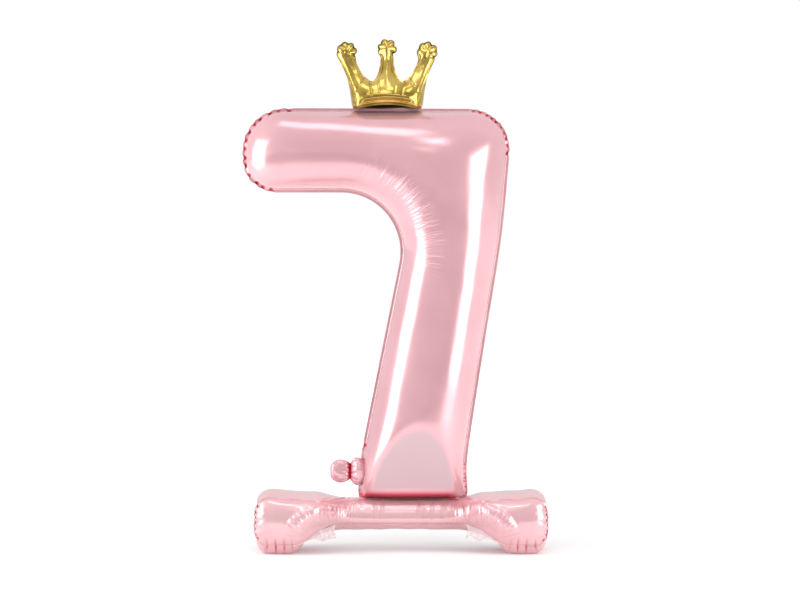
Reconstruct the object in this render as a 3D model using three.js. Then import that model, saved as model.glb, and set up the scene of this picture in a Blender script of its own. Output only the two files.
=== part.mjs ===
// Standing foil number balloon: a digit seven with a crown on top, on a boxed arch base with two feet.
// Millimetres. +Z is up, the front faces -Y, and +X is to the right of someone who faces the front.
// The origin is on the floor, under the middle of the bounding box.
//
// Every chamber is made as the real one is: foil panels, welded to each other round a flat flange.
// A panel is a height field over its flat outline. The film of a long inflated tube is a circular arc,
// and the same law for any outline is height = sqrt(2 * phi), where phi solves laplacian(phi) = -1 with
// phi = 0 on the weld, so one function inflates the number, the crown, the neck and the base.
import * as THREE from "three";

// ---- Film and welds ----
const FILM = 1.0; // wall of a foil panel
const SEAM_GAP = 0.2; // from the seam plane to the panel on each side of it
const THIN_FILM = 0.6; // clear film of the valves

// ---- Number: the digit seven ----
const NUMBER = {
  armTop: 725, // top edge of the arm
  armBottom: 587, // bottom edge of the arm
  armLeft: -250, // left end of the arm
  armTopRadius: 70, // upper corner of the arm's left end
  armBottomRadius: 55, // lower corner of the arm's left end
  shoulder: { x: 122, z: 658, radius: 66 }, // outer corner, where the arm turns into the stem
  elbow: { x: -88, z: 490, radius: 97 }, // inner corner
  lean: THREE.MathUtils.degToRad(11.4), // of the stem's left edge from upright
  stemBottom: 90,
  stemFootLeft: -62, // corners of the stem's bottom edge
  stemFootRight: 121,
  stemLeftEase: 170, // height where the left edge turns upright
  flange: 5,
  fullness: 0.9, // of a circular section
  grid: 22,
};
// The stem's right edge, from its foot to the shoulder.
const STEM_RIGHT = [
  [118, 132],
  [121, 175],
  [147, 345],
  [174, 515],
];

// ---- Crown: a boxed chamber whose depth runs out at the balls. Sizes are from the middle of its foot ----
const CROWN = {
  x: -13, // middle of the crown
  bottom: 727,
  footHalf: 50, // half of the front's bottom edge
  footArch: 6, // rise of that edge in the middle
  sideTip: { x: 66, z: 91, radius: 17.5 }, // ball on a side spike
  middleTip: { z: 96.5, radius: 16.5 }, // ball on the middle spike
  valley: { x: 25, z: 42 }, // lowest point between two spikes
  middleHalf: 12.5, // half width of the middle spike at its neck
  flange: 3.5,
  fullness: 0.5,
  grid: 10,
  depth: 22, // from the middle plane to the front seam, at the foot
  depthTop: 86, // height where the front and back seams meet
  bulge: { side: 9, foot: 2.5 }, // of the gusset
  gussetEnd: { x: 68, z: 66 }, // beside the gusset's ends
  gussetRows: 7,
};

// ---- Neck: the filling tail at the stem's lower left ----
const NECK = {
  hinge: -69, // the fold, an upright line
  tip: -103,
  z: 131, // middle height
  half: 18, // half of the flap's height
  rootHalf: 11, // half of its height at the fold
  rootDepth: 4,
  flange: 2.5,
  fullness: 0.55,
  grid: 6,
};

// ---- Film sleeves of the self-sealing valves, inside the chambers ----
const VALVE = { start: -44, length: 92, half: 12, lift: 0.4 }; // of the number
const CROWN_VALVE = { bottom: 12, length: 24, half: 7 };
const BASE_VALVE = { away: 130, half: 11, y: -20, bottom: 54, length: 20 };

// ---- Base ----
const BASE = {
  x: 10, // middle of the base
  half: 238.5, // half of its width over the flanges
  topEnd: 93, // top edge over the feet
  topMiddle: 88, // top edge under the number
  topFlat: 118, // from the middle to where the top edge starts to rise
  topCorner: 27,
  soleCorner: 27,
  soleSeam: 13, // lower edge of the foot's front
  soleInner: 176, // from the middle of the base to where the foot's inner edge starts to rise
  archOuter: 92, // from the middle to where the arch's lower edge is level
  archSeam: 45, // lower edge of the bar
  flange: 4,
  fullness: 0.62,
  grid: 14,
  footDepth: 60, // from the middle plane to a foot's front seam
  barDepth: 21, // to the bar's lower seam
  ridgeDepth: 1.6, // to the bar's upper seam
  ridgeSpread: [84, 140], // distances from the middle where the upper seams part
  barSpread: [95, 172], // and where the lower seams part
};
const BULGE = { top: 8, ridge: 0.5, side: 3, sole: 20, arch: 12 }; // of the gussets, outwards
const SOLE_SQUARENESS = 8; // power of the sole's profile from front to back, which flattens it on the floor
const SOLE = { middle: 198, half: 40 }; // from the base's middle to where the sole is lowest, and its reach
const ROUND_SQUARENESS = 2;
const BOTTOM_ROWS = 9; // points across a gusset
const TOP_ROWS = 5;

// ---- Small joining pieces ----
const STRIP = { half: 70, thick: 1.2, bottom: 88.3, top: 89.4 }; // weld between base and number
const TAB = { half: 26, depth: 1.2, gap: 0.4 }; // pad between the crown's foot and the number's top edge
const TAIL = { from: 106, to: 152, hem: 16, below: 1.4, ahead: 2.2, steps: 5 }; // clear tail of a base valve

const FOIL_PINK = { color: 0xe9b4bc, roughness: 0.22, metalness: 0.7 };
const FOIL_GOLD = { color: 0xd9b04a, roughness: 0.18, metalness: 1.0 };
const CLEAR_FILM = { color: 0xf4e2e4, roughness: 0.15, metalness: 0.0 };

// ================= Flat outlines =================

// Points along a THREE.Path, evenly spaced on each of its curves, so that corners are kept.
function sampled(path, spacing) {
  return path.curves.flatMap((curve) => {
    const steps = Math.max(1, Math.round(curve.getLength() / spacing));
    return curve.getSpacedPoints(steps).slice(0, -1);
  });
}

function numberOutline() {
  const { elbow, shoulder, lean } = NUMBER;
  const path = new THREE.Path();
  path.moveTo(NUMBER.stemFootLeft, NUMBER.stemBottom);
  path.lineTo(NUMBER.stemFootRight, NUMBER.stemBottom);
  const shoulderStart = [shoulder.x + shoulder.radius, shoulder.z];
  path.splineThru([...STEM_RIGHT, shoulderStart].map(([x, z]) => new THREE.Vector2(x, z)));
  path.absarc(shoulder.x, shoulder.z, shoulder.radius, 0, Math.PI / 2, false);
  const upper = { x: NUMBER.armLeft + NUMBER.armTopRadius, z: NUMBER.armTop - NUMBER.armTopRadius };
  path.lineTo(upper.x, NUMBER.armTop);
  path.absarc(upper.x, upper.z, NUMBER.armTopRadius, Math.PI / 2, Math.PI, false);
  const lower = {
    x: NUMBER.armLeft + NUMBER.armBottomRadius,
    z: NUMBER.armBottom + NUMBER.armBottomRadius,
  };
  path.lineTo(NUMBER.armLeft, lower.z);
  path.absarc(lower.x, lower.z, NUMBER.armBottomRadius, Math.PI, 1.5 * Math.PI, false);
  path.lineTo(elbow.x, NUMBER.armBottom);
  path.absarc(elbow.x, elbow.z, elbow.radius, Math.PI / 2, -lean, true);
  const start = { x: elbow.x + elbow.radius * Math.cos(lean), z: elbow.z - elbow.radius * Math.sin(lean) };
  const eased = start.x - Math.tan(lean) * (start.z - NUMBER.stemLeftEase);
  path.lineTo(eased, NUMBER.stemLeftEase);
  path.quadraticCurveTo(NUMBER.stemFootLeft, 130, NUMBER.stemFootLeft, NUMBER.stemBottom);
  return path;
}

// A point on a circle, its angle in degrees.
function onCircle(x, z, radius, degrees) {
  const angle = THREE.MathUtils.degToRad(degrees);
  return new THREE.Vector2(x + radius * Math.cos(angle), z + radius * Math.sin(angle));
}

function crownOutline() {
  const { sideTip, middleTip, valley, middleHalf, footHalf, footArch } = CROWN;
  const radians = THREE.MathUtils.degToRad;
  const path = new THREE.Path();
  path.moveTo(-footHalf, 0);
  path.quadraticCurveTo(0, 2 * footArch, footHalf, 0);
  const outer = onCircle(sideTip.x, sideTip.z, sideTip.radius, -40);
  path.quadraticCurveTo(footHalf + 8, 45, outer.x, outer.y);
  path.absarc(sideTip.x, sideTip.z, sideTip.radius, radians(-40), radians(215), false);
  path.quadraticCurveTo(44, 50, valley.x, valley.z);
  path.quadraticCurveTo(middleHalf + 3, 50, middleHalf, 82);
  path.absarc(0, middleTip.z, middleTip.radius, radians(-52), radians(232), false);
  path.lineTo(-middleHalf, 82);
  path.quadraticCurveTo(-middleHalf - 3, 50, -valley.x, valley.z);
  const inner = onCircle(-sideTip.x, sideTip.z, sideTip.radius, -35);
  path.quadraticCurveTo(-44, 50, inner.x, inner.y);
  path.absarc(-sideTip.x, sideTip.z, sideTip.radius, radians(-35), radians(220), false);
  path.quadraticCurveTo(-footHalf - 8, 45, -footHalf, 0);
  return path;
}

function neckOutline() {
  const round = NECK.half * 0.9;
  const path = new THREE.Path();
  path.moveTo(NECK.hinge - 1.5, NECK.z - NECK.rootHalf);
  path.lineTo(NECK.hinge - 1.5, NECK.z + NECK.rootHalf);
  path.quadraticCurveTo(NECK.hinge - 8, NECK.z + NECK.half, NECK.tip + round, NECK.z + NECK.half);
  path.absarc(NECK.tip + round, NECK.z + NECK.half - round, round, Math.PI / 2, Math.PI, false);
  path.absarc(NECK.tip + round, NECK.z - NECK.half + round, round, Math.PI, 1.5 * Math.PI, false);
  path.quadraticCurveTo(NECK.hinge - 8, NECK.z - NECK.half, NECK.hinge - 1.5, NECK.z - NECK.rootHalf);
  return path;
}

// The front of the base, over its flange: two feet joined by an arched bar.
function baseOutline() {
  const left = BASE.x - BASE.half;
  const right = BASE.x + BASE.half;
  const { topCorner, topFlat, soleCorner, soleSeam, archSeam, soleInner, archOuter } = BASE;
  const rise = (soleInner + archOuter) / 2;
  const middleRise = soleSeam + (archSeam - soleSeam) * 0.62;
  const path = new THREE.Path();
  path.moveTo(left + soleCorner, soleSeam);
  path.lineTo(BASE.x - soleInner, soleSeam);
  path.quadraticCurveTo(BASE.x - soleInner + 14, soleSeam, BASE.x - rise, middleRise);
  path.quadraticCurveTo(BASE.x - archOuter - 20, archSeam, BASE.x - archOuter, archSeam);
  path.lineTo(BASE.x + archOuter, archSeam);
  path.quadraticCurveTo(BASE.x + archOuter + 20, archSeam, BASE.x + rise, middleRise);
  path.quadraticCurveTo(BASE.x + soleInner - 14, soleSeam, BASE.x + soleInner, soleSeam);
  path.lineTo(right - soleCorner, soleSeam);
  path.absarc(right - soleCorner, soleSeam + soleCorner, soleCorner, -Math.PI / 2, 0, false);
  path.lineTo(right, BASE.topEnd - topCorner);
  path.absarc(right - topCorner, BASE.topEnd - topCorner, topCorner, 0, Math.PI / 2, false);
  path.quadraticCurveTo(BASE.x + topFlat + 40, BASE.topMiddle, BASE.x + topFlat, BASE.topMiddle);
  path.lineTo(BASE.x - topFlat, BASE.topMiddle);
  path.quadraticCurveTo(BASE.x - topFlat - 40, BASE.topMiddle, left + topCorner, BASE.topEnd);
  path.absarc(left + topCorner, BASE.topEnd - topCorner, topCorner, Math.PI / 2, Math.PI, false);
  path.lineTo(left, soleSeam + soleCorner);
  path.absarc(left + soleCorner, soleSeam + soleCorner, soleCorner, Math.PI, 1.5 * Math.PI, false);
  return path;
}

// ================= Flat meshes =================

// +1 for an outline that runs anticlockwise.
function turning(outline) {
  return Math.sign(THREE.ShapeUtils.area(outline));
}

function distanceToOutline(point, outline) {
  let nearest = Infinity;
  const closest = new THREE.Vector3();
  const at = new THREE.Vector3(point.x, point.y, 0);
  outline.forEach((a, i) => {
    const b = outline[(i + 1) % outline.length];
    const side = new THREE.Line3(new THREE.Vector3(a.x, a.y, 0), new THREE.Vector3(b.x, b.y, 0));
    side.closestPointToPoint(at, true, closest);
    nearest = Math.min(nearest, closest.distanceTo(at));
  });
  return nearest;
}

function isInside(point, outline) {
  let inside = false;
  outline.forEach((a, i) => {
    const b = outline[(i + 1) % outline.length];
    const crosses = a.y > point.y !== b.y > point.y;
    if (crosses && point.x < ((b.x - a.x) * (point.y - a.y)) / (b.y - a.y) + a.x) inside = !inside;
  });
  return inside;
}

// Unit normals of a closed outline, pointing out of it.
function outwardNormals(outline) {
  const side = turning(outline);
  return outline.map((_, i) => {
    const before = outline[(i + outline.length - 1) % outline.length];
    const after = outline[(i + 1) % outline.length];
    return new THREE.Vector2(after.y - before.y, before.x - after.x).multiplyScalar(side).normalize();
  });
}

// The outline moved inwards, less the points that a tight corner pushes together.
function insetRing(outline, distance) {
  const normals = outwardNormals(outline);
  return outline
    .map((p, i) => p.clone().addScaledVector(normals[i], -distance))
    .filter((p) => isInside(p, outline) && distanceToOutline(p, outline) > 0.93 * distance);
}

// Points of a triangular grid inside the outline, clear of it.
function gridInside(outline, spacing, clearance) {
  const box = new THREE.Box2().setFromPoints(outline);
  const found = [];
  const rowHeight = (spacing * Math.sqrt(3)) / 2;
  for (let row = 0, y = box.min.y; y < box.max.y; row += 1, y += rowHeight)
    for (let x = box.min.x + (row % 2) * (spacing / 2); x < box.max.x; x += spacing) {
      const p = new THREE.Vector2(x, y);
      if (isInside(p, outline) && distanceToOutline(p, outline) > clearance) found.push(p);
    }
  return found;
}

function circumcircle(points, a, b, c) {
  const p = points[a];
  const bx = points[b].x - p.x;
  const by = points[b].y - p.y;
  const cx = points[c].x - p.x;
  const cy = points[c].y - p.y;
  const d = 2 * (bx * cy - by * cx);
  const x = (cy * (bx * bx + by * by) - by * (cx * cx + cy * cy)) / d;
  const y = (bx * (cx * cx + cy * cy) - cx * (bx * bx + by * by)) / d;
  return { corners: [a, b, c], x: x + p.x, y: y + p.y, squared: x * x + y * y };
}

// Delaunay triangles of a set of points, each anticlockwise, by adding one point at a time.
function delaunay(points) {
  const far = 1e5;
  const tiny = 1e-3; // moves points off common circles, for the triangulation only
  const placed = points.map(
    (p, i) => new THREE.Vector2(p.x + tiny * Math.sin(i * 12.9898), p.y + tiny * Math.cos(i * 78.233)),
  );
  placed.push(new THREE.Vector2(-far, -far), new THREE.Vector2(far, -far), new THREE.Vector2(0, far));
  const n = points.length;
  let triangles = [circumcircle(placed, n, n + 1, n + 2)];
  for (let i = 0; i < n; i += 1) {
    const p = placed[i];
    const rim = new Map();
    const kept = [];
    for (const t of triangles) {
      if ((p.x - t.x) ** 2 + (p.y - t.y) ** 2 >= t.squared) {
        kept.push(t);
        continue;
      }
      const [a, b, c] = t.corners;
      for (const [from, to] of [[a, b], [b, c], [c, a]])
        if (!rim.delete(`${to},${from}`)) rim.set(`${from},${to}`, [from, to]);
    }
    for (const [from, to] of rim.values()) kept.push(circumcircle(placed, from, to, i));
    triangles = kept;
  }
  return triangles.map((t) => t.corners).filter((corners) => corners.every((c) => c < n));
}

// A flat panel: its points, its triangles, which points are free to rise, and its rim.
function flatPanel(path, { grid, flange }) {
  const outline = sampled(path, grid);
  const weld = insetRing(outline, flange);
  const shoulderRing = insetRing(outline, flange + grid * 0.3);
  const inner = gridInside(outline, grid, flange + grid * 0.75);
  const points = [...outline, ...weld, ...shoulderRing, ...inner];
  const fixed = outline.length + weld.length;
  const centre = new THREE.Vector2();
  const triangles = delaunay(points).filter(([a, b, c]) => {
    centre.copy(points[a]).add(points[b]).add(points[c]).divideScalar(3);
    return isInside(centre, outline);
  });
  return { outline, weld, points, triangles, fixed };
}

// Solves laplacian(phi) = -1 over the panel with phi = 0 up to the weld, with cotangent weights.
function inflation({ points, triangles, fixed }) {
  const weights = points.map(() => new Map());
  const areas = points.map(() => 0);
  for (const corners of triangles)
    for (let k = 0; k < 3; k += 1) {
      const [a, b, c] = [corners[k], corners[(k + 1) % 3], corners[(k + 2) % 3]];
      const ab = points[b].clone().sub(points[a]);
      const ac = points[c].clone().sub(points[a]);
      const cross = Math.abs(ab.cross(ac));
      const cotangent = Math.max(0.02, ab.dot(ac) / cross) / 2;
      weights[b].set(c, (weights[b].get(c) ?? 0) + cotangent);
      weights[c].set(b, (weights[c].get(b) ?? 0) + cotangent);
      areas[a] += cross / 6;
    }
  const phi = points.map(() => 0);
  for (let round = 0; round < 500; round += 1)
    for (let i = fixed; i < points.length; i += 1) {
      let sum = areas[i];
      let total = 0;
      for (const [j, w] of weights[i]) {
        sum += w * phi[j];
        total += w;
      }
      phi[i] += 1.6 * (sum / total - phi[i]);
    }
  return phi;
}

// ================= Solids =================

// Joins an outer and an inner skin over the same triangles, and closes the rim between them.
function closedSkins(outer, inner, triangles) {
  const n = outer.length;
  const index = [];
  const rim = new Map();
  for (const [a, b, c] of triangles) {
    index.push(a, b, c, n + c, n + b, n + a);
    for (const [from, to] of [[a, b], [b, c], [c, a]])
      if (!rim.delete(`${to},${from}`)) rim.set(`${from},${to}`, [from, to]);
  }
  for (const [from, to] of rim.values()) index.push(to, from, n + from, to, n + from, n + to);
  const geometry = new THREE.BufferGeometry();
  geometry.setFromPoints([...outer, ...inner]);
  geometry.setIndex(index);
  return geometry;
}

// One foil panel. side is -1 for the front and +1 for the back; offset(x, z) moves it off the seam plane.
function foilPanel(path, { grid, flange, fullness, film = FILM }, side, offset = () => 0) {
  const flat = flatPanel(path, { grid, flange });
  const phi = inflation(flat);
  const span = Math.sqrt(2 * Math.max(...phi));
  const wall = 2 * span * film - film * film;
  const skin = (height) =>
    flat.points.map((p, i) => {
      const y = offset(p.x, p.y) + SEAM_GAP + height(2 * phi[i]);
      return new THREE.Vector3(p.x, side * y, p.y);
    });
  const outer = skin((twice) => film + fullness * Math.sqrt(twice));
  const inner = skin((twice) => fullness * Math.sqrt(Math.max(0, twice - wall)));
  const triangles = side < 0 ? flat.triangles : flat.triangles.map(([a, b, c]) => [c, b, a]);
  return closedSkins(outer, inner, triangles);
}

// A grid of points as triangles, columns along the seam and rows across the band.
function bandTriangles(columns, rows) {
  const triangles = [];
  for (let i = 0; i < columns - 1; i += 1)
    for (let j = 0; j < rows - 1; j += 1) {
      const a = i * rows + j;
      const b = a + rows;
      triangles.push([a, b + 1, b], [a, a + 1, b + 1]);
    }
  return triangles;
}

const blendBetween = (value, [from, to]) => THREE.MathUtils.smoothstep(value, from, to);

// From the middle plane to the front seam of the base.
function baseHalfDepth(x, z) {
  const away = Math.abs(x - BASE.x);
  const upper = THREE.MathUtils.lerp(BASE.ridgeDepth, BASE.footDepth, blendBetween(away, BASE.ridgeSpread));
  const lower = THREE.MathUtils.lerp(BASE.barDepth, BASE.footDepth, blendBetween(away, BASE.barSpread));
  const height = THREE.MathUtils.clamp((z - BASE.archSeam) / (BASE.topMiddle - BASE.archSeam), 0, 1);
  return THREE.MathUtils.lerp(lower, upper, height);
}

// How far the base's gussets stand out at a seam point, and how square their profile is.
function baseBulge(point, normal) {
  const away = Math.abs(point.x - BASE.x);
  if (normal.y > 0.3) {
    const spread = blendBetween(away, BASE.ridgeSpread);
    const side = blendBetween(normal.y, [0.3, 0.95]);
    const top = THREE.MathUtils.lerp(BULGE.ridge, BULGE.top, spread);
    return { out: THREE.MathUtils.lerp(BULGE.side, top, side), power: ROUND_SQUARENESS };
  }
  if (normal.y > -0.3) return { out: BULGE.side, power: ROUND_SQUARENESS };
  const foot = blendBetween(away, BASE.barSpread);
  const down = blendBetween(-normal.y, [0.3, 0.9]);
  const crown = Math.max(0, 1 - ((away - SOLE.middle) / SOLE.half) ** 2);
  const sole = THREE.MathUtils.lerp(BULGE.side, BULGE.sole, crown);
  const under = THREE.MathUtils.lerp(BULGE.arch, sole, foot);
  return {
    out: THREE.MathUtils.lerp(BULGE.side, under, down),
    power: THREE.MathUtils.lerp(ROUND_SQUARENESS, SOLE_SQUARENESS, foot),
  };
}

function crownHalfDepth(x, z) {
  return CROWN.depth * (1 - THREE.MathUtils.smoothstep(z, 0, CROWN.depthTop));
}

function crownBulge(point, normal) {
  const down = blendBetween(-normal.y, [0.3, 0.9]);
  const narrowing = crownHalfDepth(0, point.y) / CROWN.depth;
  const out = THREE.MathUtils.lerp(CROWN.bulge.side * narrowing, CROWN.bulge.foot, down);
  return { out, power: ROUND_SQUARENESS };
}

// A band of foil along a stretch of a front seam, back to the same stretch of the back seam.
function gusset({ seam, normals }, rows, halfDepth, bulgeAt) {
  const outer = [];
  const inner = [];
  seam.forEach((p, i) => {
    const half = halfDepth(p.x, p.y) - 2 * SEAM_GAP;
    const { out, power } = bulgeAt(p, normals[i]);
    for (let j = 0; j < rows; j += 1) {
      const across = (2 * j) / (rows - 1) - 1;
      const bulge = out * (1 - Math.abs(across) ** power);
      const x = p.x + normals[i].x * bulge;
      const z = Math.max(0, p.y + normals[i].y * bulge);
      outer.push(new THREE.Vector3(x, across * half, z));
      const innerZ = z - normals[i].y * FILM;
      inner.push(new THREE.Vector3(x - normals[i].x * FILM, across * half, innerZ));
    }
  });
  return closedSkins(outer, inner, bandTriangles(seam.length, rows));
}

function weldOf(path, { grid, flange }) {
  const weld = insetRing(sampled(path, grid), flange);
  return { weld, normals: outwardNormals(weld) };
}

// A stretch of a weld line, from one of its points on to another.
function stretch({ weld, normals }, from, to) {
  const picked = [from];
  while (picked.at(-1) !== to) picked.push((picked.at(-1) + 1) % weld.length);
  return { seam: picked.map((i) => weld[i]), normals: picked.map((i) => normals[i]) };
}

function lowestScore(points, score) {
  return points.reduce((best, p, i) => (score(p) < score(points[best]) ? i : best), 0);
}

// From the left spike's outer edge down, along the foot and up to the right spike's outer edge.
function crownSeam() {
  const line = weldOf(crownOutline(), CROWN);
  const end = (side) => {
    const at = new THREE.Vector2(side * CROWN.gussetEnd.x, CROWN.gussetEnd.z);
    return lowestScore(line.weld, (p) => p.distanceTo(at));
  };
  return stretch(line, end(-1), end(1));
}

// The base's weld line, split at the outermost points of the feet into an upper and a lower stretch.
function baseSeams() {
  const line = weldOf(baseOutline(), BASE);
  const middle = (BASE.topEnd + BASE.soleSeam) / 2;
  const side = (sign) => lowestScore(line.weld, (p) => Math.abs(p.y - middle) - sign * (p.x - BASE.x));
  const left = side(-1);
  const right = side(1);
  return { lower: stretch(line, left, right), upper: stretch(line, right, left) };
}

// A seam stretch less the ends that its neighbour holds, so that the two gussets don't overlap.
function trimmed({ seam, normals }, ends) {
  const cut = (list) => list.slice(ends, list.length - ends);
  return { seam: cut(seam), normals: cut(normals) };
}

// The clear tail of a base valve: a sheet that hangs from a stretch of the front's lower seam.
function valveTail(seam, side) {
  const above = seam.filter((p) => {
    const away = side * (p.x - BASE.x);
    return away > TAIL.from && away < TAIL.to;
  });
  const outer = [];
  const inner = [];
  for (const p of above) {
    const y = -baseHalfDepth(p.x, p.y) - SEAM_GAP - FILM - TAIL.ahead;
    for (let j = 0; j < TAIL.steps; j += 1) {
      const z = THREE.MathUtils.lerp(p.y - TAIL.below, TAIL.hem, j / (TAIL.steps - 1));
      outer.push(new THREE.Vector3(p.x, y - THIN_FILM / 2, z));
      inner.push(new THREE.Vector3(p.x, y + THIN_FILM / 2, z));
    }
  }
  return closedSkins(outer, inner, bandTriangles(above.length, TAIL.steps));
}

function box(width, depth, height, x, y, z) {
  return new THREE.BoxGeometry(width, depth, height).translate(x, y, z);
}

// ================= Assembly =================

const balloon = new THREE.Group();

function add(name, geometry, look, parent = balloon) {
  geometry.computeVertexNormals();
  const mesh = new THREE.Mesh(geometry, new THREE.MeshStandardMaterial(look));
  mesh.name = name;
  parent.add(mesh);
  return mesh;
}

function addNumber() {
  add("number_front_panel", foilPanel(numberOutline(), NUMBER, -1), FOIL_PINK);
  add("number_back_panel", foilPanel(numberOutline(), NUMBER, 1), FOIL_PINK);
  const middle = VALVE.start + VALVE.length / 2;
  const y = VALVE.lift + THIN_FILM / 2;
  const ply = (side) => box(VALVE.length, THIN_FILM, 2 * VALVE.half, middle, side * y, NECK.z);
  add("number_valve_film_front", ply(-1), CLEAR_FILM);
  add("number_valve_film_back", ply(1), CLEAR_FILM);
}

function addNeck() {
  const rootFrom = NECK.hinge + 1.2;
  const rootTo = NUMBER.stemFootLeft - 1.2;
  const root = new THREE.CylinderGeometry(NECK.rootDepth, NECK.rootDepth * 1.3, rootTo - rootFrom, 16);
  root.rotateZ(Math.PI / 2);
  root.scale(1, 1, NECK.rootHalf / NECK.rootDepth);
  root.translate((rootFrom + rootTo) / 2, 0, NECK.z);
  add("neck_root_sleeve", root, FOIL_PINK);
  add("neck_front_foil", foilPanel(neckOutline(), NECK, -1), FOIL_PINK);
  add("neck_back_foil", foilPanel(neckOutline(), NECK, 1), FOIL_PINK);
}

function addCrown() {
  const crown = new THREE.Group();
  crown.position.set(CROWN.x, 0, CROWN.bottom);
  balloon.add(crown);
  add("crown_front_panel", foilPanel(crownOutline(), CROWN, -1, crownHalfDepth), FOIL_GOLD, crown);
  add("crown_back_panel", foilPanel(crownOutline(), CROWN, 1, crownHalfDepth), FOIL_GOLD, crown);
  const band = gusset(crownSeam(), CROWN.gussetRows, crownHalfDepth, crownBulge);
  add("crown_side_and_foot_gusset", band, FOIL_GOLD, crown);
  const padFrom = NUMBER.armTop - CROWN.bottom + TAB.gap;
  const padTo = CROWN.flange + CROWN.footArch * 0.6 - CROWN.bulge.foot - TAB.gap;
  const pad = box(2 * TAB.half, TAB.depth, padTo - padFrom, 0, 0, (padFrom + padTo) / 2);
  add("crown_fixing_tab", pad, CLEAR_FILM, crown);
  const sleeveMiddle = CROWN_VALVE.bottom + CROWN_VALVE.length / 2;
  const sleeve = box(2 * CROWN_VALVE.half, 2 * THIN_FILM, CROWN_VALVE.length, 0, 0, sleeveMiddle);
  add("crown_valve_sleeve", sleeve, CLEAR_FILM, crown);
}

function addBase() {
  const { upper, lower } = baseSeams();
  add("base_front_panel", foilPanel(baseOutline(), BASE, -1, baseHalfDepth), FOIL_PINK);
  add("base_back_panel", foilPanel(baseOutline(), BASE, 1, baseHalfDepth), FOIL_PINK);
  add("base_bottom_gusset", gusset(lower, BOTTOM_ROWS, baseHalfDepth, baseBulge), FOIL_PINK);
  const topGusset = gusset(trimmed(upper, 1), TOP_ROWS, baseHalfDepth, baseBulge);
  add("base_top_gusset", topGusset, FOIL_PINK);
  const stripHeight = STRIP.top - STRIP.bottom;
  const stripMiddle = (STRIP.top + STRIP.bottom) / 2;
  const strip = box(2 * STRIP.half, STRIP.thick, stripHeight, BASE.x + 19, 0, stripMiddle);
  add("number_joining_strip", strip, FOIL_PINK);
  for (const [end, side] of [["left", -1], ["right", 1]]) {
    const x = BASE.x + side * BASE_VALVE.away;
    const z = BASE_VALVE.bottom + BASE_VALVE.length / 2;
    add(`base_valve_tail_${end}`, valveTail(lower.seam, side), CLEAR_FILM);
    const sleeve = box(2 * BASE_VALVE.half, 2 * THIN_FILM, BASE_VALVE.length, x, BASE_VALVE.y, z);
    add(`base_valve_sleeve_${end}`, sleeve, CLEAR_FILM);
  }
}

addNumber();
addNeck();
addCrown();
addBase();

export default balloon;
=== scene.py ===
"""Foil number balloon: a digit seven with a gold crown, on a boxed base with two feet.

The film is worked out in millimetres and turned to metres when a mesh is made. Each chamber is two
foil panels welded round a flat flange. A panel's fullness follows the same law as the CAD part's,
height = sqrt(2 phi) with laplacian(phi) = -1, and the film that a curved weld leaves over is
gathered into puckers along it.
"""

import math

import bpy
import numpy as np
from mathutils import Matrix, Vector
from mathutils.geometry import delaunay_2d_cdt


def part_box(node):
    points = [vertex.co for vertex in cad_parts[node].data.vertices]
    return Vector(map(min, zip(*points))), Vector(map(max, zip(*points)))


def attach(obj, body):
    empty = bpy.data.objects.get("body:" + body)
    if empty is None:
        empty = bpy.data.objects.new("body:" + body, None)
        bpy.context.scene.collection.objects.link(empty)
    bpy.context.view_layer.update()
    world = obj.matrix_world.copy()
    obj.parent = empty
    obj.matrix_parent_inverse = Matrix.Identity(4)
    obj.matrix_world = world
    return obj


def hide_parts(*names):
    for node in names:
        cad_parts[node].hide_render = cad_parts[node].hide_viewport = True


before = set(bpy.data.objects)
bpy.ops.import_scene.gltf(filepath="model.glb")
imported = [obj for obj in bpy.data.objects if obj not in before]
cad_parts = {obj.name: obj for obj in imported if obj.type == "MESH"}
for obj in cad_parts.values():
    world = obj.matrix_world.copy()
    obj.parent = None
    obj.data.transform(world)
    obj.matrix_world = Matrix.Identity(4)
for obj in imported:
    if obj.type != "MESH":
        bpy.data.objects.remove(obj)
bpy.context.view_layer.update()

MM = 0.001
FRONT, BACK = -1, 1


# ---------------------------------------------------------------- outlines


def arc(cx, cz, radius, start, end, step=2.0):
    """Points on an arc, angles in degrees."""
    a, b = math.radians(start), math.radians(end)
    count = max(3, int(abs(b - a) * radius / step) + 1)
    t = np.linspace(a, b, count)
    return np.stack([cx + radius * np.cos(t), cz + radius * np.sin(t)], 1)


def spline(points, step=4.0):
    """A Catmull-Rom curve through the points."""
    p = np.array(points, float)
    p = np.vstack([2 * p[0] - p[1], p, 2 * p[-1] - p[-2]])
    out = []
    for i in range(1, len(p) - 2):
        a, b, c, d = p[i - 1 : i + 3]
        count = max(2, int(np.linalg.norm(c - b) / step))
        t = np.linspace(0, 1, count, endpoint=False)[:, None]
        out.append(
            0.5
            * (2 * b + (c - a) * t + (2 * a - 5 * b + 4 * c - d) * t**2 + (3 * b - a - 3 * c + d) * t**3)
        )
    out.append(p[-2][None])
    return np.vstack(out)


def quadratic(a, b, c, count=12):
    """A quadratic Bezier curve."""
    a, b, c = (np.array(v, float) for v in (a, b, c))
    t = np.linspace(0, 1, count)[:, None]
    return a * (1 - t) ** 2 + 2 * b * t * (1 - t) + c * t**2


def resample(points, spacing):
    """A closed outline with evenly spaced points, anticlockwise."""
    p = np.array(points, float)
    keep = np.linalg.norm(p - np.roll(p, 1, 0), axis=1) > 1e-6
    p = p[keep]
    area = np.sum(p[:, 0] * np.roll(p[:, 1], -1) - np.roll(p[:, 0], -1) * p[:, 1])
    if area < 0:
        p = p[::-1]
    closed = np.vstack([p, p[:1]])
    along = np.concatenate([[0], np.cumsum(np.linalg.norm(np.diff(closed, axis=0), axis=1))])
    count = int(round(along[-1] / spacing))
    at = np.linspace(0, along[-1], count, endpoint=False)
    return np.stack([np.interp(at, along, closed[:, k]) for k in (0, 1)], 1)


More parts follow.
